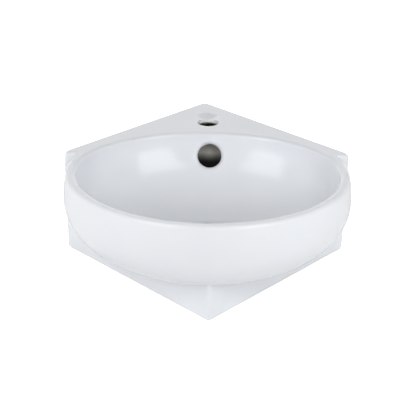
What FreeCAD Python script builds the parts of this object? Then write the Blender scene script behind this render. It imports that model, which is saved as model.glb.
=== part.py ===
import FreeCAD, Part
import math
import os

from FreeCAD import Matrix, Vector

# A wall-hung corner basin in one piece of fired clay, with a push-to-open waste.
# Millimetres, +Z up. The part stands on its base plane, z = 0. The two walls meet
# at the back, towards +Y, and x = 0 is the plane of symmetry.
# Lengths named "from_corner" run from the meeting line of the two walls towards the front.

# --- fired body: plan and height -------------------------------------------------
wall_leg = 330.0              # length of each wall side, to the sharp corner
body_height = 160.0
back_corner_radius = 12.0
tip_radius = 24.0             # the two rounded tips against the walls
front_corner_radius = 4.5
ear_from_corner = 230.5       # front edge of each ear, where the deck meets a wall's end
ear_lean = 27.0               # degrees; lower down the ear's front leans forwards into the belly
ear_inner_reach = 190.0       # the ear's front ends inside the belly
top_edge_round = 3.5
base_edge_round = 1.5
shell_wall = 12.0             # clay thickness of the wall plates and the skirt
deck_thickness = 9.5

# --- fired body: round belly -----------------------------------------------------
belly_from_corner = 289.0
belly_half_width = 220.0
belly_half_depth = 193.0
belly_drop = 44.0             # widest level, below the deck
belly_underside_drop = 110.0
side_lean = 5.4               # how much narrower each side is at the rim than at the widest level
front_lean = 2.4
rim_round = 7.0
side_draw_in = 72.0           # how far the underside is drawn in at the sides
front_draw_in = 45.0
side_fullness = 2.0           # 2 is an ellipse; more is a fuller flank and a sharper turn under
front_fullness = 2.5
belly_sections = 9

# --- fired body: bowl ------------------------------------------------------------
bowl_rear_reach = 142.0       # from the widest line back towards the tap hole
rim_flat_at_sides = 1.1       # level band left on the rim between its two rounds
rim_flat_at_front = 0.8
bowl_depth = 104.0
bowl_wall = 11.0
front_squareness = 3.2        # 2 is an ellipse; more is a steeper wall and a flatter floor
side_squareness = 3.0
rear_squareness = 1.85
bowl_sections = 11
lip_round = 5.5

# --- fired body: tap hole, overflow, wall fixings ---------------------------------
tap_hole_radius = 17.5
tap_hole_from_corner = 96.0
tap_hole_aside = 4.0          # the tap hole sits this far to the right of the middle
tap_hole_round = 2.0
tap_hole_round_below = 2.5
scoop_from_corner = 71.0      # the deck falls into the tap hole from behind, in a round scoop
scoop_radius = 18.0
scoop_depth = 5.0
scoop_round = 8.0
tap_nut_radius = 21.5         # room kept under the deck for a tap's back nut
overflow_radius = 19.5
overflow_drop = 35.5          # centre of the hole below the deck
overflow_aside = 6.0          # the overflow and its duct sit this far to the right of the middle
overflow_round = 7.0
duct_width = 46.0
duct_depth = 14.0             # from the back of the bowl wall to the back of the duct
duct_wall = 6.0
floor_duct_height = 10.0
fixing_radius = 6.0
fixing_along_wall = 150.0     # from the corner, measured along each wall
fixing_drop = 60.0

# --- outlet and waste --------------------------------------------------------------
waste_from_corner = 308.0
boss_radius = 37.0            # fired boss under the bowl, which the waste is clamped to
boss_depth_under_floor = 28.0
outlet_clearance = 1.5        # between the tail and the fired hole
recess_clearance = 2.0        # round the flange, on the flat of the bowl floor
flange_radius = 32.0
flange_thickness = 3.0
flange_edge_round = 1.0
flange_seal_thickness = 1.5
flange_seal_inset = 2.0       # the seal stays this far inside the flange's edge
dish_inset = 2.0              # flat ring left round the dish in the flange's top
dish_depth = 3.5              # from the flange's top down to the bore
tail_radius = 20.955          # 1 1/4 inch pipe thread, drawn plain
tail_bore_radius = 18.0
tail_above_base = 2.0
relief_width = 1.0            # shallow groove between the back nut's thread and the trap's thread
relief_depth = 0.8
slot_width = 9.0
slot_height = 10.0
slot_count = 4                # openings in the tail that let the overflow water in
bridge_thickness = 6.0        # cross of ribs inside the tail that carries the plug's works
bridge_under_slots = 5.0
bridge_rib_width = 3.0
bridge_hub_radius = 7.0
ring_clearance = 0.25         # of the rings and the nut round the tail
gasket_radius = 31.0
gasket_height = 6.0
gasket_taper = 3.0
washer_radius = 30.0
washer_thickness = 1.5
nut_across_flats = 55.0
nut_height = 7.0

# --- push-to-open plug ------------------------------------------------------------
plug_travel = 9.0
plug_radius = 27.5
plug_edge_thickness = 2.6
plug_crown = 3.0
plug_edge_round = 0.8
plug_boss_radius = 5.5        # under the cap, takes the plunger's screw
plug_boss_depth = 3.0
seat_radius = 25.0            # where the cap's cord meets the dish
seal_cord_radius = 1.6
seal_gap = 0.15               # left between the cord and the dish with the plug down
sleeve_radius = 6.5
sleeve_bore_radius = 5.0
sleeve_floor = 2.0
sleeve_lip = 1.5
sleeve_gap_under_cap = 1.0
stud_radius = 4.0
stud_clearance = 0.15
stud_end = 1.5                # how far the stud stands out under its nut
locknut_across_flats = 13.0
locknut_height = 3.5
plunger_radius = 3.0
plunger_clearance = 0.08      # in the sleeve's lip
piston_radius = 4.6
piston_height = 4.0
piston_gap = 0.3              # left under the lip with the plug fully up
screw_radius = 2.0
screw_length = 3.5
spring_wire_radius = 0.45
spring_clearance = 0.5        # between the coil and the sleeve's bore
spring_turns = 6.0
spring_end_gap = 0.15

# --- levels and places worked out from the sizes above ------------------------------
bowl_from_corner = belly_from_corner                      # bowl and belly share their widest line
rim_rounds = rim_round + lip_round
bowl_half_width = belly_half_width - side_lean - rim_rounds - rim_flat_at_sides
bowl_front_reach = belly_half_depth - front_lean - rim_rounds - rim_flat_at_front
half_diagonal = wall_leg / math.sqrt(2)
corner_cut = back_corner_radius * (math.sqrt(2) - 1)
front_from_corner = belly_from_corner + belly_half_depth
wall_corner_y = (front_from_corner + corner_cut) / 2      # puts the origin mid-way in depth
deck_level = body_height
floor_level = deck_level - bowl_depth
boss_level = floor_level - boss_depth_under_floor
outlet_radius = tail_radius + outlet_clearance
recess_radius = flange_radius + recess_clearance
flange_level = floor_level + flange_seal_thickness
flange_top = flange_level + flange_thickness
dish_radius = flange_radius - dish_inset
dish_fall = dish_depth / (dish_radius - tail_bore_radius)
gasket_level = boss_level - gasket_height
washer_level = gasket_level - washer_thickness
nut_level = washer_level - nut_height
slot_level = floor_level - bowl_wall - floor_duct_height
hub_top = slot_level - bridge_under_slots
hub_level = hub_top - bridge_thickness
ring_bore = tail_radius + ring_clearance
seat_level = flange_top - (dish_radius - seat_radius) * dish_fall
cord_level = seat_level + (seal_cord_radius + seal_gap) * math.sqrt(1 + dish_fall ** 2)
cap_level = cord_level                                     # the cord lies half in the cap
boss_under_cap = cap_level - plug_boss_depth
sleeve_top = boss_under_cap - sleeve_gap_under_cap
spring_level = hub_top + sleeve_floor
piston_top = sleeve_top - sleeve_lip - piston_gap - plug_travel
piston_level = piston_top - piston_height


def corner_y(from_corner):
    """The y of a place that lies this far from the meeting line of the walls."""
    return wall_corner_y - from_corner


waste_y = corner_y(waste_from_corner)


# --- helpers ------------------------------------------------------------------------
def box(x0, x1, y0, y1, z0, z1):
    return Part.makeBox(x1 - x0, y1 - y0, z1 - z0, Vector(x0, y0, z0))


def cylinder(radius, z0, z1, x=0.0, y=0.0):
    return Part.makeCylinder(radius, z1 - z0, Vector(x, y, z0))


def ring(outer, inner, z0, z1, x=0.0, y=0.0):
    return cylinder(outer, z0, z1, x, y).cut(cylinder(inner, z0, z1, x, y))


def hexagon(across_flats, z0, z1, x=0.0, y=0.0):
    reach = across_flats / math.sqrt(3)
    corners = [Vector(x + reach * math.cos(math.radians(60 * k)),
                      y + reach * math.sin(math.radians(60 * k)), z0) for k in range(7)]
    return Part.Face(Part.makePolygon(corners)).extrude(Vector(0, 0, z1 - z0))


def line(a, b):
    return Part.LineSegment(a, b).toShape()


def edges_at(shape, level):
    """The edges that lie wholly in a level plane."""
    return [edge for edge in shape.Edges
            if abs(edge.BoundBox.ZMin - level) < 1e-3 and abs(edge.BoundBox.ZMax - level) < 1e-3]


def middle_of(edge):
    return edge.valueAt((edge.FirstParameter + edge.LastParameter) / 2)


def edges_round(shape, radius, x, y, lowest):
    """The edges, above a level, where a round upright hole breaks out."""
    return [edge for edge in shape.Edges
            if abs(math.hypot(middle_of(edge).x - x, middle_of(edge).y - y) - radius) < 0.05
            and edge.BoundBox.ZMin > lowest and edge.BoundBox.ZLength < scoop_depth + 1]


# --- fired body ----------------------------------------------------------------------
def square_plan(inset, level):
    """The square outline, one corner at the walls, with its corners rounded."""
    reach = half_diagonal - inset * math.sqrt(2)
    middle = corner_y(half_diagonal)
    corners = [
        (Vector(0, middle + reach, level), back_corner_radius),
        (Vector(-reach, middle, level), tip_radius),
        (Vector(0, middle - reach, level), front_corner_radius),
        (Vector(reach, middle, level), tip_radius),
    ]
    starts, mids, ends = [], [], []
    for k, (corner, radius) in enumerate(corners):
        radius = max(radius - inset, radius / 3)
        before = (corners[k - 1][0] - corner).normalize()
        after = (corners[(k + 1) % 4][0] - corner).normalize()
        inward = (before + after).normalize()
        starts.append(corner + before * radius)
        ends.append(corner + after * radius)
        mids.append(corner + inward * radius * (math.sqrt(2) - 1))
    edges = []
    for k in range(4):
        edges.append(Part.Arc(starts[k], mids[k], ends[k]).toShape())
        edges.append(line(ends[k], starts[(k + 1) % 4]))
    return Part.Face(Part.Wire(edges))


def ears_front(behind):
    """What lies in front of the two ears, or that space made deeper by a wall thickness."""
    lean = math.tan(math.radians(ear_lean))
    low, high = deck_level - belly_drop - behind, deck_level + 1
    back = corner_y(ear_from_corner) + behind / math.cos(math.radians(ear_lean))
    front = corner_y(belly_from_corner)
    back_low = back - (deck_level - low) * lean
    back_high = back + (high - deck_level) * lean
    outline = [(front, low), (back_low, low), (back_high, high), (front, high), (front, low)]
    spaces = []
    for inner in (-wall_leg, ear_inner_reach - behind):
        side = Part.Face(Part.makePolygon([Vector(inner, y, z) for y, z in outline]))
        spaces.append(side.extrude(Vector(wall_leg - ear_inner_reach + behind, 0, 0)))
    return spaces


def skirt_block():
    block = square_plan(0, 0).extrude(Vector(0, 0, body_height))
    for space in ears_front(0):
        block = block.cut(space)
    block = block.makeFillet(top_edge_round, edges_at(block, body_height) + ear_edges(block))
    return block.makeFillet(base_edge_round, edges_at(block, 0))


def ear_edges(block):
    """The edges that run down the outer end of each ear's front."""
    found = []
    lean = math.tan(math.radians(ear_lean))
    for edge in block.Edges:
        point = middle_of(edge)
        off_front = corner_y(ear_from_corner) - (deck_level - point.z) * lean - point.y
        if edge.BoundBox.ZLength > 1 and abs(point.x) > ear_inner_reach + 1 and abs(off_front) < 0.05:
            found.append(edge)
    return found


def oval(half_width, front, rear, middle_y, level):
    """A closed outline of two half ellipses that share their width."""
    halves = []
    for reach, start in ((rear, 0), (front, 180)):
        half = Part.makeCircle(1.0, Vector(0, 0, 0), Vector(0, 0, 1), start, start + 180)
        stretch = Matrix()
        stretch.A11 = half_width
        stretch.A22 = reach
        stretch.A24 = middle_y
        stretch.A34 = level
        halves.append(half.transformGeometry(stretch).Edges[0])
    return Part.Wire(halves)


def share_left(depth, squareness):
    """How much of a reach is left at a share of the depth: 1 at the top and 0 at the bottom."""
    return max(0.0, 1 - depth ** squareness) ** (1 / squareness)


def belly():
    """The round outside of the bowl: level ovals, drawn in under the widest one."""
    sizes = []
    for drop in (0.0, belly_drop / 3, belly_drop * 2 / 3):
        share = (1 - drop / belly_drop) ** 2
        sizes.append((drop, belly_half_width - side_lean * share, belly_half_depth - front_lean * share))
    for k in range(belly_sections):
        depth = math.sin(math.radians(90 * k / (belly_sections - 1)))
        drop = belly_drop + depth * (belly_underside_drop - belly_drop)
        width = belly_half_width - side_draw_in * (1 - share_left(depth, side_fullness))
        reach = belly_half_depth - front_draw_in * (1 - share_left(depth, front_fullness))
        sizes.append((drop, width, reach))
    middle_y = corner_y(belly_from_corner)
    ovals = [oval(width, reach, reach, middle_y, deck_level - drop) for drop, width, reach in sizes]
    form = Part.makeLoft(ovals, True, False)
    form = form.makeFillet(rim_round, edges_at(form, deck_level))
    back_end = corner_y(ear_from_corner - shell_wall)
    return form.common(box(-wall_leg, wall_leg, corner_y(2 * wall_leg), back_end, 0, deck_level))


def bowl_form(grow=0.0, grow_rear=0.0, grow_depth=0.0):
    """The hollow of the bowl as a solid, or that solid grown outwards for what lies behind it."""
    ovals = []
    for k in range(bowl_sections):
        depth = math.sin(math.radians(90 * k / (bowl_sections - 1))) ** (2 / side_squareness)
        side_left = share_left(depth, side_squareness)
        width = recess_radius + grow + (bowl_half_width - recess_radius) * side_left
        shift = waste_from_corner - bowl_from_corner
        front_end = (waste_from_corner + recess_radius + grow
                     + (bowl_front_reach - shift - recess_radius) * share_left(depth, front_squareness))
        rear_end = (waste_from_corner - recess_radius - grow_rear
                    - (bowl_rear_reach + shift - recess_radius) * share_left(depth, rear_squareness))
        middle = bowl_from_corner + shift * depth ** rear_squareness
        level = deck_level - depth * (bowl_depth + grow_depth)
        ovals.append(oval(width, front_end - middle, middle - rear_end, corner_y(middle), level))
    return Part.makeLoft(ovals, True, False)


def rear_wall_from_corner(drop):
    """Where the back wall of the bowl is, on the plane of symmetry, at a drop below the deck."""
    shift = waste_from_corner - bowl_from_corner
    reach = (bowl_rear_reach + shift - recess_radius) * share_left(drop / bowl_depth, rear_squareness)
    return waste_from_corner - recess_radius - reach


def overflow_duct_block(extra_wall, clearance):
    """The duct behind and under the bowl, solid: its outside with extra_wall, its passage without."""
    back = bowl_form(bowl_wall, bowl_wall + duct_depth + extra_wall,
                     bowl_wall + floor_duct_height + extra_wall)
    half_width = duct_width / 2 + extra_wall
    middle = overflow_aside
    rear_limit = tap_hole_from_corner + tap_nut_radius + duct_wall - extra_wall
    return back.common(box(middle - half_width, middle + half_width, waste_y, corner_y(rear_limit),
                           0, deck_level - deck_thickness + clearance))


def underside_hollow():
    """The open space under the deck and the bowl, reached from below."""
    block = square_plan(shell_wall, -1).extrude(Vector(0, 0, deck_level - deck_thickness + 1))
    block = block.cut(bowl_form(bowl_wall, bowl_wall, bowl_wall))
    block = block.cut(overflow_duct_block(duct_wall, 1.0))
    for space in ears_front(shell_wall):
        block = block.cut(space)
    return block.cut(cylinder(boss_radius, boss_level, floor_level, 0, waste_y))


def overflow_axis():
    """The middle of the overflow hole on the bowl's back wall, and the way straight out of that wall."""
    wall = rear_wall_from_corner(overflow_drop)
    fall = rear_wall_from_corner(overflow_drop + 1) - rear_wall_from_corner(overflow_drop - 1)
    centre = Vector(overflow_aside, corner_y(wall), deck_level - overflow_drop)
    return centre, Vector(0, -1, fall / 2).normalize()


def overflow_hole():
    centre, outward = overflow_axis()
    reach = bowl_wall + duct_depth
    drill = Part.makeCylinder(overflow_radius, 2 * reach, centre - outward * reach, outward)
    return drill.common(bowl_form(bowl_wall, bowl_wall + duct_depth / 2, bowl_wall))


def overflow_edges(body):
    """The edge where the overflow hole breaks through the bowl's back wall."""
    centre, outward = overflow_axis()
    found = []
    for edge in body.Edges:
        away = middle_of(edge) - centre
        along = away.dot(outward)
        if abs((away - outward * along).Length - overflow_radius) < 0.1 and abs(along) < bowl_wall / 2:
            found.append(edge)
    return found


def fixing_bores():
    """One level bore through each wall plate."""
    bores = []
    for side in (-1, 1):
        wall_way = Vector(side, -1, 0).normalize()
        inward = Vector(-side, -1, 0).normalize()
        start = Vector(0, wall_corner_y, deck_level - fixing_drop) + wall_way * fixing_along_wall
        bores.append(Part.makeCylinder(fixing_radius, shell_wall + 4, start - inward * 2, inward))
    return bores


def lip_edges(body):
    """The edge between the deck and the bowl."""
    found = []
    for edge in edges_at(body, deck_level):
        point = middle_of(edge)
        away = point.y - corner_y(bowl_from_corner)
        reach = bowl_rear_reach if away > 0 else bowl_front_reach
        if abs(math.hypot(point.x / bowl_half_width, away / reach) - 1) < 0.01:
            found.append(edge)
    return found


def deck_scoop():
    """A ball that presses the deck down behind the tap hole."""
    ball_radius = (scoop_radius ** 2 + scoop_depth ** 2) / (2 * scoop_depth)
    centre = Vector(tap_hole_aside, corner_y(scoop_from_corner), deck_level - scoop_depth + ball_radius)
    return Part.makeSphere(ball_radius, centre)


def basin_body():
    tap_y = corner_y(tap_hole_from_corner)
    scoop_y = corner_y(scoop_from_corner)
    body = skirt_block().fuse(belly()).removeSplitter()
    body = body.cut(bowl_form())
    body = body.makeFillet(lip_round, lip_edges(body))
    body = body.cut(deck_scoop())
    rim = edges_round(body, scoop_radius, tap_hole_aside, scoop_y, deck_level - 0.5)
    body = body.makeFillet(scoop_round, rim)
    below = deck_level - deck_thickness - 1
    body = body.cut(cylinder(tap_hole_radius, below, deck_level + 1, tap_hole_aside, tap_y))
    rim = edges_round(body, tap_hole_radius, tap_hole_aside, tap_y, deck_level - scoop_depth - 1)
    body = body.makeFillet(tap_hole_round, rim)
    body = body.cut(underside_hollow())
    rim = edges_round(body, tap_hole_radius, tap_hole_aside, tap_y, deck_level - deck_thickness - 1)
    rim = [edge for edge in rim if edge.BoundBox.ZMax < deck_level - deck_thickness + 1]
    body = body.makeFillet(tap_hole_round_below, rim)
    body = body.cut(overflow_duct_block(0.0, 0.0).cut(bowl_form(bowl_wall, bowl_wall, bowl_wall)))
    body = body.cut(overflow_hole())
    body = body.makeFillet(overflow_round, overflow_edges(body))
    body = body.cut(cylinder(recess_radius, floor_level, floor_level + bowl_wall, 0, waste_y))
    body = body.cut(cylinder(outlet_radius, 0, floor_level + 1, 0, waste_y))
    for bore in fixing_bores():
        body = body.cut(bore)
    return body


# --- waste -----------------------------------------------------------------------------
def waste_body():
    """Flange, tail and the cross of ribs inside it, in one piece of brass."""
    flange = cylinder(flange_radius, flange_level, flange_top, 0, waste_y)
    flange = flange.makeFillet(flange_edge_round, edges_at(flange, flange_top))
    tail = cylinder(tail_radius, tail_above_base, flange_level, 0, waste_y)
    relief_bottom = nut_level - relief_width
    relief = ring(tail_radius + 1, tail_radius - relief_depth, relief_bottom, nut_level, 0, waste_y)
    body = flange.fuse(tail.cut(relief))
    body = body.cut(cylinder(tail_bore_radius, tail_above_base, flange_top, 0, waste_y))
    dish_bottom = Vector(0, waste_y, flange_top - dish_depth)
    dish = Part.makeCone(tail_bore_radius, dish_radius, dish_depth, dish_bottom)
    body = body.cut(dish)
    for k in range(slot_count // 2):
        slot = box(-tail_radius - 1, tail_radius + 1, -slot_width / 2, slot_width / 2,
                   slot_level, slot_level + slot_height)
        slot.rotate(Vector(0, 0, 0), Vector(0, 0, 1), 360 * k / slot_count)
        slot.translate(Vector(0, waste_y, 0))
        body = body.cut(slot)
    bridge = cylinder(bridge_hub_radius, hub_level, hub_top, 0, waste_y)
    middle = (tail_bore_radius + tail_radius) / 2
    for k in range(2):
        rib = box(-middle, middle, -bridge_rib_width / 2, bridge_rib_width / 2, hub_level, hub_top)
        rib.rotate(Vector(0, 0, 0), Vector(0, 0, 1), 90 * k + 45)
        rib.translate(Vector(0, waste_y, 0))
        bridge = bridge.fuse(rib)
    bridge = bridge.cut(cylinder(stud_radius + stud_clearance, hub_level, hub_top, 0, waste_y))
    return body.fuse(bridge).removeSplitter()


def flange_seal():
    return ring(flange_radius - flange_seal_inset, ring_bore, floor_level, flange_level, 0, waste_y)


def tapered_gasket():
    cone = Part.makeCone(gasket_radius, gasket_radius - gasket_taper, gasket_height,
                         Vector(0, waste_y, gasket_level))
    return cone.cut(cylinder(ring_bore, gasket_level, boss_level, 0, waste_y))


def slip_washer():
    return ring(washer_radius, ring_bore, washer_level, gasket_level, 0, waste_y)


def backnut():
    nut = hexagon(nut_across_flats, nut_level, washer_level, 0, waste_y)
    return nut.cut(cylinder(ring_bore, nut_level, washer_level, 0, waste_y))


# --- push-to-open plug --------------------------------------------------------------------
def click_sleeve():
    """The guide tube that stands on the cross of ribs, with its stud through the hub."""
    stud_bottom = hub_level - locknut_height - stud_end
    sleeve = cylinder(sleeve_radius, hub_top, sleeve_top, 0, waste_y)
    sleeve = sleeve.cut(cylinder(sleeve_bore_radius, spring_level, sleeve_top - sleeve_lip, 0, waste_y))
    mouth = plunger_radius + plunger_clearance
    sleeve = sleeve.cut(cylinder(mouth, sleeve_top - sleeve_lip, sleeve_top, 0, waste_y))
    return sleeve.fuse(cylinder(stud_radius, stud_bottom, hub_top, 0, waste_y)).removeSplitter()


def sleeve_locknut():
    bottom = hub_level - locknut_height
    nut = hexagon(locknut_across_flats, bottom, hub_level, 0, waste_y)
    return nut.cut(cylinder(stud_radius + stud_clearance, bottom, hub_level, 0, waste_y))


def click_plunger():
    piston = cylinder(piston_radius, piston_level, piston_top, 0, waste_y)
    rod = cylinder(plunger_radius, piston_top, boss_under_cap, 0, waste_y)
    screw = cylinder(screw_radius, boss_under_cap, boss_under_cap + screw_length, 0, waste_y)
    return piston.fuse(rod).fuse(screw).removeSplitter()


def click_spring():
    """One helix of wire between the sleeve's floor and the piston."""
    coil_radius = sleeve_bore_radius - spring_clearance - spring_wire_radius
    bottom = spring_level + spring_end_gap + spring_wire_radius
    length = piston_level - spring_end_gap - spring_wire_radius - bottom
    path = Part.makeHelix(length / spring_turns, length, coil_radius)
    wire = Part.Wire(path.Edges)
    start = Part.makeCircle(spring_wire_radius, Vector(coil_radius, 0, 0), Vector(0, 1, 0))
    coil = wire.makePipeShell([Part.Wire([start])], True, True)
    coil.translate(Vector(0, waste_y, bottom))
    return coil


def plug_cap():
    """The domed cap, with a groove for its cord and a boss for the plunger's screw."""
    crown_radius = (plug_radius ** 2 + plug_crown ** 2) / (2 * plug_crown)
    edge_top = cap_level + plug_edge_thickness
    ball = Part.makeSphere(crown_radius, Vector(0, waste_y, edge_top + plug_crown - crown_radius))
    cap = cylinder(plug_radius, cap_level, edge_top + plug_crown + 1, 0, waste_y).common(ball)
    cap = cap.makeFillet(plug_edge_round, edges_at(cap, edge_top))
    cap = cap.fuse(cylinder(plug_boss_radius, boss_under_cap, cap_level, 0, waste_y))
    cap = cap.cut(cylinder(screw_radius, boss_under_cap, boss_under_cap + screw_length, 0, waste_y))
    return cap.cut(cap_seal()).removeSplitter()


def cap_seal():
    return Part.makeTorus(seat_radius, seal_cord_radius, Vector(0, waste_y, cord_level))


PARTS = {
    "basin_body": basin_body,
    "waste_body": waste_body,
    "flange_seal": flange_seal,
    "tapered_gasket": tapered_gasket,
    "slip_washer": slip_washer,
    "backnut": backnut,
    "click_sleeve": click_sleeve,
    "sleeve_locknut": sleeve_locknut,
    "click_plunger": click_plunger,
    "click_spring": click_spring,
    "plug_cap": plug_cap,
    "cap_seal": cap_seal,
}

os.makedirs("parts", exist_ok=True)
for name, build in PARTS.items():
    shape = build()
    shape.exportStep("parts/" + name + ".step")
    state = "valid" if shape.isValid() else "NOT VALID"
    print(name, state, len(shape.Solids), round(shape.Volume / 1000, 2))
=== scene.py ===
import math

import bpy
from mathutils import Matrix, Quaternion, Vector

# A corner basin in glazed vitreous china with a push-to-open waste, in metres, z up.
# The base stands on z = 0, and the two walls would meet at the back, towards +y.

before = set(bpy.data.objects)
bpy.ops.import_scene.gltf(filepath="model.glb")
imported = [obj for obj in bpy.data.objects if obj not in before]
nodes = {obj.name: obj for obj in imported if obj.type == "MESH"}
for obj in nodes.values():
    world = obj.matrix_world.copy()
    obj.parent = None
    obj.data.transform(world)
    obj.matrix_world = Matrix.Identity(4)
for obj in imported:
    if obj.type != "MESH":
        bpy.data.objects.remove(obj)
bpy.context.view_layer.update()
print("frame loaded:", len(nodes), "nodes")


def linear(hexColour):
    # sRGB hex to the linear values that shaders want
    parts = [int(hexColour[i:i + 2], 16) / 255 for i in (1, 3, 5)]
    return tuple(c / 12.92 if c <= 0.04045 else ((c + 0.055) / 1.055) ** 2.4 for c in parts) + (1.0,)


def perMetre(millimetres):
    # texture scale that gives a pattern of this size
    return 1000 / millimetres


def newMaterial(name):
    material = bpy.data.materials.new(name)
    material.use_nodes = True
    material.node_tree.nodes.clear()
    return material


def addNode(owner, kind, settings=None, inputs=None):
    # one node: its settings, then a value or another node's output for each input
    node = owner.node_tree.nodes.new(kind)
    for name, value in (settings or {}).items():
        setattr(node, name, value)
    for name, value in (inputs or {}).items():
        if isinstance(value, bpy.types.NodeSocket):
            owner.node_tree.links.new(value, node.inputs[name])
        else:
            node.inputs[name].default_value = value
    return node


def reckon(owner, operation, *values):
    # one step of arithmetic, or a test, on plain numbers; COMPARE takes its tolerance third
    return addNode(owner, "ShaderNodeMath", {"operation": operation}, dict(enumerate(values))).outputs[0]


def reckonVector(owner, operation, *values):
    return addNode(owner, "ShaderNodeVectorMath", {"operation": operation}, dict(enumerate(values)))


def remap(owner, value, start, end, low=0.0, high=1.0):
    # value running from start to end becomes low to high
    return addNode(owner, "ShaderNodeMapRange", None,
                   {"Value": value, "From Min": start, "From Max": end,
                    "To Min": low, "To Max": high}).outputs["Result"]


def patches(owner, place, sizeMm, detail):
    # soft uneven patches of about this size, fixed to the piece
    return addNode(owner, "ShaderNodeTexNoise", None,
                   {"Vector": place.outputs["Object"], "Scale": perMetre(sizeMm),
                    "Detail": detail}).outputs["Fac"]


def blend(owner, factor, first, second):
    return addNode(owner, "ShaderNodeMix", {"data_type": "RGBA"},
                   {"Factor": factor, 6: first, 7: second}).outputs[2]


def relief(owner, height, strength, depth, under=None):
    inputs = {"Height": height, "Strength": strength, "Distance": depth}
    if under is not None:
        inputs["Normal"] = under
    return addNode(owner, "ShaderNodeBump", None, inputs).outputs["Normal"]


def finished(material, inputs):
    shader = addNode(material, "ShaderNodeBsdfPrincipled", None, inputs)
    addNode(material, "ShaderNodeOutputMaterial", None, {"Surface": shader.outputs["BSDF"]})
    return material


def giveMaterial(nodeName, material):
    mesh = nodes[nodeName].data
    mesh.materials.clear()
    mesh.materials.append(material)


# Vitreous china, slip-cast, sprayed with white glaze and fired: a hard cool gloss that rolls gently
# where the glaze flowed, over bare matt clay on the foot, against the walls and up inside the body.
# Inside the overflow the clay carries painted shade, near black lower down.
china = {
    "glaze": "#EAECEF",
    "glazeThick": "#E4E7EC",       # where the glaze ran a little thicker
    "bisque": "#D9D3C6",           # bare fired clay
    "bisqueDark": "#C9C1B1",
    "waterway": "#A3A099",         # bare clay inside the overflow, drawn greyer than the clay elsewhere as painted shade
    "waterwayPaintedShade": "#050505",     # painted shade: near black lower down, where no light gets in
    "roughness": 0.10,
    "bisqueRoughness": 0.65,
    "ior": 1.52,                   # glass
    "flowMm": 60.0,                # from crest to crest of the flow
    "flowDetail": 1.0,
    "flowStrength": 0.12,
    "flowDepth": 0.002,
    "peelMm": 5.0,                 # spray texture, drawn coarser than its real 2 mm so that it shows
    "peelDetail": 2.0,
    "peelStrength": 0.03,
    "peelDepth": 0.0004,
    "clayGrainMm": 1.5,
    "clayGrainDetail": 3.0,
    "squareMiddle": 0.01015,       # y of the middle of the square plan
    "squareInside": 0.2164,        # half diagonal of the space inside the skirt
    "wallSide": 0.222,             # half diagonal outside which only the outer faces lie
    "planTolerance": 0.0005,
    "tipsEnd": 0.027,              # y behind which the outer faces stand against the walls
    "footHeight": 0.0012,
    "backFacing": 0.5,             # y of a normal that looks at the walls
    "upright": 1.40,               # x and y of a level normal at 45 degrees, added up, are 1.414
    "downFacing": -0.05,           # z of a normal that looks down
    "overflowCentre": (0.006, 0.08677, 0.1245),
    "overflowInward": (0.0, 0.8857, -0.4642),
    "overflowReach": 0.027,        # half width of the waterway
    "overflowMargin": 0.003,       # bare clay stays this far outside the waterway
    "bareFrom": 0.0042,            # depth in the overflow hole where the glaze ends
    "bareFade": 0.001,             # and the length over which it ends
    "waterwayEnd": 0.027,          # depth inside the clay that closes the waterway at the back
    "shadeFrom": 0.1190,           # z where the painted shade in the waterway begins
    "shadeTo": 0.1035,             # z where the painted shade is darkest
    "shadeCurve": 2.0,
}


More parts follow.
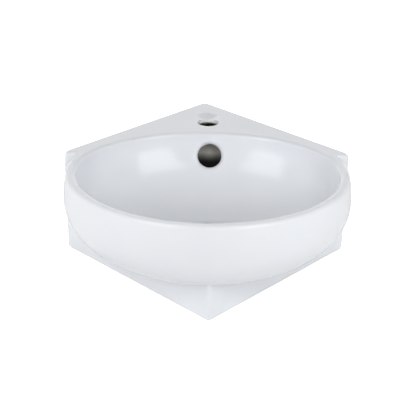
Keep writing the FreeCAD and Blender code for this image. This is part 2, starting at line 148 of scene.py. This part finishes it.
def glazedChina():
    material = newMaterial("slip-cast vitreous china, white glaze")
    place = addNode(material, "ShaderNodeTexCoord")
    spot = addNode(material, "ShaderNodeSeparateXYZ", None, {"Vector": place.outputs["Object"]})
    normal = addNode(material, "ShaderNodeSeparateXYZ", None, {"Vector": place.outputs["Normal"]})

    # distance from the middle of the square plan, counted along x and y together
    alongPlan = (1, 1, 0)
    centred = reckonVector(material, "SUBTRACT", place.outputs["Object"], (0, china["squareMiddle"], 0))
    folded = reckonVector(material, "ABSOLUTE", centred.outputs[0])
    square = reckonVector(material, "DOT_PRODUCT", folded.outputs[0], alongPlan).outputs["Value"]
    foldedNormal = reckonVector(material, "ABSOLUTE", place.outputs["Normal"])
    diagonal = reckonVector(material, "DOT_PRODUCT", foldedNormal.outputs[0], alongPlan).outputs["Value"]

    # depth into the overflow hole, and distance from its axis
    away = reckonVector(material, "SUBTRACT", place.outputs["Object"], china["overflowCentre"])
    inwards = reckonVector(material, "DOT_PRODUCT", away.outputs[0], china["overflowInward"])
    depth = inwards.outputs["Value"]
    onAxis = addNode(material, "ShaderNodeVectorMath", {"operation": "SCALE"},
                     {0: china["overflowInward"], "Scale": depth})
    beside = reckonVector(material, "DISTANCE", away.outputs[0], onAxis.outputs[0]).outputs["Value"]
    nearHole = reckon(material, "LESS_THAN", beside, china["overflowReach"])
    pastGlaze = remap(material, depth, china["bareFrom"], china["bareFrom"] + china["bareFade"])
    beforeEnd = reckon(material, "LESS_THAN", depth, china["waterwayEnd"])
    insideHole = reckon(material, "MULTIPLY", nearHole, pastGlaze)
    waterway = reckon(material, "MULTIPLY", insideHole, beforeEnd)

    # bare clay: the foot, the faces against the walls, the skirt's inner walls,
    # and what faces down inside
    foot = reckon(material, "LESS_THAN", spot.outputs["Z"], china["footHeight"])

    facesBack = reckon(material, "GREATER_THAN", normal.outputs["Y"], china["backFacing"])
    outer = reckon(material, "GREATER_THAN", square, china["wallSide"])
    behindTips = reckon(material, "GREATER_THAN", spot.outputs["Y"], china["tipsEnd"])
    outerBack = reckon(material, "MULTIPLY", outer, behindTips)
    wallFace = reckon(material, "MULTIPLY", outerBack, facesBack)

    upright = reckon(material, "GREATER_THAN", diagonal, china["upright"])
    onInside = reckon(material, "COMPARE", square, china["squareInside"], china["planTolerance"])
    innerWall = reckon(material, "MULTIPLY", upright, onInside)

    within = reckon(material, "LESS_THAN", square, china["squareInside"] + china["planTolerance"])
    facesDown = reckon(material, "LESS_THAN", normal.outputs["Z"], china["downFacing"])
    besideHole = reckon(material, "GREATER_THAN", beside,
                        china["overflowReach"] + china["overflowMargin"])
    behindHole = reckon(material, "GREATER_THAN", depth, china["waterwayEnd"])
    clearOfHole = reckon(material, "MAXIMUM", besideHole, behindHole)
    insideDown = reckon(material, "MULTIPLY", within, facesDown)
    hollow = reckon(material, "MULTIPLY", insideDown, clearOfHole)

    bare = foot
    for part in (wallFace, innerWall, hollow):
        bare = reckon(material, "MAXIMUM", bare, part)

    # colours
    flow = patches(material, place, china["flowMm"], china["flowDetail"])
    peel = patches(material, place, china["peelMm"], china["peelDetail"])
    grain = patches(material, place, china["clayGrainMm"], china["clayGrainDetail"])
    glaze = blend(material, flow, linear(china["glaze"]), linear(china["glazeThick"]))
    clay = blend(material, grain, linear(china["bisque"]), linear(china["bisqueDark"]))
    # painted shade in the waterway: greyish clay near the top darkening to near black lower down, by
    # height alone
    upward = remap(material, spot.outputs["Z"], china["shadeTo"], china["shadeFrom"])
    paintedLitShare = reckon(material, "POWER", upward, china["shadeCurve"])
    paintedShadeColour = blend(material, paintedLitShare, linear(china["waterwayPaintedShade"]), linear(china["waterway"]))
    fired = blend(material, bare, glaze, clay)
    colour = blend(material, waterway, fired, paintedShadeColour)

    # gloss and relief; the waterway has no gloss at all
    matt = remap(material, bare, 0, 1, china["roughness"], china["bisqueRoughness"])
    rough = reckon(material, "MAXIMUM", matt, waterway)
    wave = relief(material, flow, china["flowStrength"], china["flowDepth"])
    skin = relief(material, peel, china["peelStrength"], china["peelDepth"], wave)
    return finished(material, {"Base Color": colour, "Roughness": rough, "IOR": china["ior"],
                               "Normal": skin})


giveMaterial("basin_body", glazedChina())
print("china done")


# Brass castings, polished and plated with chromium: a clean cool mirror, hazed a little by wiping.
# The tail under the flange is plated but not polished, so it is duller.
chrome = {
    "colour": "#DADCDF",
    "roughness": 0.06,
    "tailRoughness": 0.24,
    "polishedAbove": 0.0568,       # z of the flange's underside
    "polishFade": 0.0005,
    "wipeMm": 8.0,
    "wipeDetail": 3.0,
    "wipeLeast": 0.7,              # the haze makes the roughness this many times what it is
    "wipeMost": 1.5,
}


def chromePlate():
    material = newMaterial("polished chrome plate on brass")
    place = addNode(material, "ShaderNodeTexCoord")
    spot = addNode(material, "ShaderNodeSeparateXYZ", None, {"Vector": place.outputs["Object"]})
    haze = patches(material, place, chrome["wipeMm"], chrome["wipeDetail"])
    polish = remap(material, spot.outputs["Z"], chrome["polishedAbove"] - chrome["polishFade"],
                   chrome["polishedAbove"], chrome["tailRoughness"], chrome["roughness"])
    uneven = remap(material, haze, 0, 1, chrome["wipeLeast"], chrome["wipeMost"])
    return finished(material, {"Base Color": linear(chrome["colour"]), "Metallic": 1.0,
                               "Roughness": reckon(material, "MULTIPLY", polish, uneven)})


# Brass bar cut on a lathe: a warm, slightly dull shine with rings round the waste's axis.
brass = {
    "colour": "#C9A35A",
    "tarnish": "#A98446",
    "roughness": 0.28,
    "ringMm": 7.54,                # tool marks, drawn far coarser than their real 0.2 mm
    "ringWander": 0.4,
    "ringStrength": 0.15,
    "ringDepth": 0.0002,
    "tarnishMm": 12.0,
    "tarnishDetail": 3.0,
}
waveTurns = 20 / (2 * math.pi)     # waves that the wave texture draws in one unit at scale 1


def turnedBrass():
    material = newMaterial("turned brass")
    place = addNode(material, "ShaderNodeTexCoord")
    rings = addNode(material, "ShaderNodeTexWave", {"bands_direction": "Z"},
                    {"Vector": place.outputs["Object"], "Scale": perMetre(brass["ringMm"]) / waveTurns,
                     "Distortion": brass["ringWander"]})
    stain = patches(material, place, brass["tarnishMm"], brass["tarnishDetail"])
    tone = blend(material, stain, linear(brass["colour"]), linear(brass["tarnish"]))
    cut = relief(material, rings.outputs["Fac"], brass["ringStrength"], brass["ringDepth"])
    return finished(material, {"Base Color": tone, "Metallic": 1.0, "Roughness": brass["roughness"],
                               "Normal": cut})


# Stainless spring wire, drawn through a die: a grey sheen that is finely uneven.
wire = {
    "colour": "#B4B6B8",
    "roughness": 0.22,
    "grainMm": 0.6,
    "grainDetail": 2.0,
    "grainLeast": 0.7,             # the grain makes the roughness this many times what it is
    "grainMost": 1.5,
}


def drawnSteel():
    material = newMaterial("drawn stainless wire")
    place = addNode(material, "ShaderNodeTexCoord")
    grain = patches(material, place, wire["grainMm"], wire["grainDetail"])
    rough = remap(material, grain, 0, 1, wire["roughness"] * wire["grainLeast"],
                  wire["roughness"] * wire["grainMost"])
    return finished(material, {"Base Color": linear(wire["colour"]), "Metallic": 1.0,
                               "Roughness": rough})


# Nitrile rubber from a steel mould: matt black with a faint grey bloom in patches.
rubber = {
    "colour": "#1B1B1C",
    "bloom": "#2A2A2B",
    "roughness": 0.68,
    "bloomMm": 7.0,
    "grainMm": 1.0,
    "detail": 2.0,                 # of both patterns
    "grainStrength": 0.2,
    "grainDepth": 0.0002,
}


def mouldedRubber():
    material = newMaterial("moulded nitrile rubber")
    place = addNode(material, "ShaderNodeTexCoord")
    grain = patches(material, place, rubber["grainMm"], rubber["detail"])
    bloom = patches(material, place, rubber["bloomMm"], rubber["detail"])
    tone = blend(material, bloom, linear(rubber["colour"]), linear(rubber["bloom"]))
    skin = relief(material, grain, rubber["grainStrength"], rubber["grainDepth"])
    return finished(material, {"Base Color": tone, "Roughness": rubber["roughness"], "Normal": skin})


# Natural nylon, injection moulded: milky off-white, waxy rather than shiny.
nylon = {
    "colour": "#DCDAD2",
    "clouded": "#CFCCC2",
    "roughness": 0.45,
    "flowMm": 9.0,
    "flowDetail": 2.0,
}


def mouldedNylon():
    material = newMaterial("moulded nylon")
    place = addNode(material, "ShaderNodeTexCoord")
    flow = patches(material, place, nylon["flowMm"], nylon["flowDetail"])
    tone = blend(material, flow, linear(nylon["colour"]), linear(nylon["clouded"]))
    return finished(material, {"Base Color": tone, "Roughness": nylon["roughness"]})


wasteFinishes = {
    chromePlate: ("waste_body", "plug_cap"),
    turnedBrass: ("backnut", "click_sleeve", "sleeve_locknut", "click_plunger"),
    drawnSteel: ("click_spring",),
    mouldedRubber: ("flange_seal", "tapered_gasket", "cap_seal"),
    mouldedNylon: ("slip_washer",),
}
for makeFinish, pieceNames in wasteFinishes.items():
    finish = makeFinish()
    for pieceName in pieceNames:
        giveMaterial(pieceName, finish)
print("waste done")


studioFloor = {
    "size": 12.0,
    "drop": 0.0004,                # just under the base
    "colour": "#F4F4F4",
    "lift": 0.62,                  # white that only the camera sees; it drowns the faint shadow too
}


def makeFloor():
    bpy.ops.mesh.primitive_plane_add(size=studioFloor["size"], location=(0, 0, -studioFloor["drop"]))
    floor = bpy.context.object
    floor.name = "studioFloor"
    board = newMaterial("white studio board")
    path = addNode(board, "ShaderNodeLightPath")
    paint = addNode(board, "ShaderNodeBsdfDiffuse", None, {"Color": linear(studioFloor["colour"])})
    seen = reckon(board, "MULTIPLY", path.outputs["Is Camera Ray"], studioFloor["lift"])
    lift = addNode(board, "ShaderNodeEmission", None, {"Strength": seen})
    both = addNode(board, "ShaderNodeAddShader", None,
                   {0: paint.outputs["BSDF"], 1: lift.outputs["Emission"]})
    addNode(board, "ShaderNodeOutputMaterial", None, {"Surface": both.outputs["Shader"]})
    floor.data.materials.append(board)


studioSky = {"ambient": 0.02, "seen": 1.0}


def makeSky():
    # white to the camera, to mirrors and through glass; faint as a light
    world = bpy.data.worlds.new("whiteStudio")
    bpy.context.scene.world = world
    world.use_nodes = True
    world.node_tree.nodes.clear()
    path = addNode(world, "ShaderNodeLightPath")
    direct = reckon(world, "MAXIMUM", path.outputs["Is Camera Ray"], path.outputs["Is Glossy Ray"])
    anyDirect = reckon(world, "MAXIMUM", direct, path.outputs["Is Transmission Ray"])
    strength = remap(world, anyDirect, 0, 1, studioSky["ambient"], studioSky["seen"])
    sky = addNode(world, "ShaderNodeBackground", None, {"Strength": strength})
    addNode(world, "ShaderNodeOutputWorld", None, {"Surface": sky.outputs["Background"]})


studioLamps = {
    "aim": (0.0, 0.0, 0.10),
    "boxes": {
        # degrees round from the front (right is +), degrees up, distance,
        # width, height, watts, shows in gloss
        "leftBox": (-37, 33, 1.7, 0.70, 1.35, 5.8, True),
        "rightBox": (33, 33, 1.7, 0.66, 1.35, 5.8, True),
        "leftWash": (-37, 32, 1.7, 0.66, 1.15, 4.0, False),
        "rightWash": (33, 32, 1.7, 0.62, 1.15, 7.8, False),
        "leftFill": (-88, 15, 1.7, 0.8, 1.2, 11.6, False),
        "rightFill": (88, 15, 1.7, 0.8, 1.2, 7.4, False),
        "backFill": (180, 35, 2.2, 1.6, 1.0, 9.0, False),
        "backLow": (180, 14, 2.2, 2.4, 0.5, 46.0, False),
        "frontLow": (0, 6, 2.4, 2.6, 0.7, 2.6, False),
    },
}


def makeLamps():
    aim = Vector(studioLamps["aim"])
    for name, settings in studioLamps["boxes"].items():
        turn, rise, distance, width, height, watts, inGloss = settings
        turn, rise = math.radians(turn), math.radians(rise)
        level = math.cos(rise)
        away = Vector((math.sin(turn) * level, -math.cos(turn) * level, math.sin(rise)))
        light = bpy.data.lights.new(name, "AREA")
        light.shape = "RECTANGLE"
        light.size, light.size_y, light.energy = width, height, watts
        lamp = bpy.data.objects.new(name, light)
        lamp.location = aim + away * distance
        lamp.rotation_mode = "QUATERNION"
        lamp.rotation_quaternion = (-away).to_track_quat("-Z", "Y")
        lamp.visible_glossy = inGloss
        bpy.context.scene.collection.objects.link(lamp)


view = {
    "place": (-0.0425, -1.46592, 0.7970),
    "direction": (0.02946, 0.89488, -0.44535),
    "rollDegrees": 1.301,          # the camera leaned a little
    "lensMm": 87.77,
    "sensorMm": 36.0,
}


def makeCamera():
    data = bpy.data.cameras.new("photoCamera")
    data.lens, data.sensor_width = view["lensMm"], view["sensorMm"]
    camera = bpy.data.objects.new("photoCamera", data)
    camera.location = view["place"]
    camera.rotation_mode = "QUATERNION"
    aim = Vector(view["direction"]).to_track_quat("-Z", "Y")
    camera.rotation_quaternion = aim @ Quaternion((0, 0, 1), math.radians(view["rollDegrees"]))
    bpy.context.scene.collection.objects.link(camera)
    bpy.context.scene.camera = camera


makeFloor()
makeSky()
makeLamps()
makeCamera()
bpy.context.scene.view_settings.view_transform = "Standard"
print("stage done")
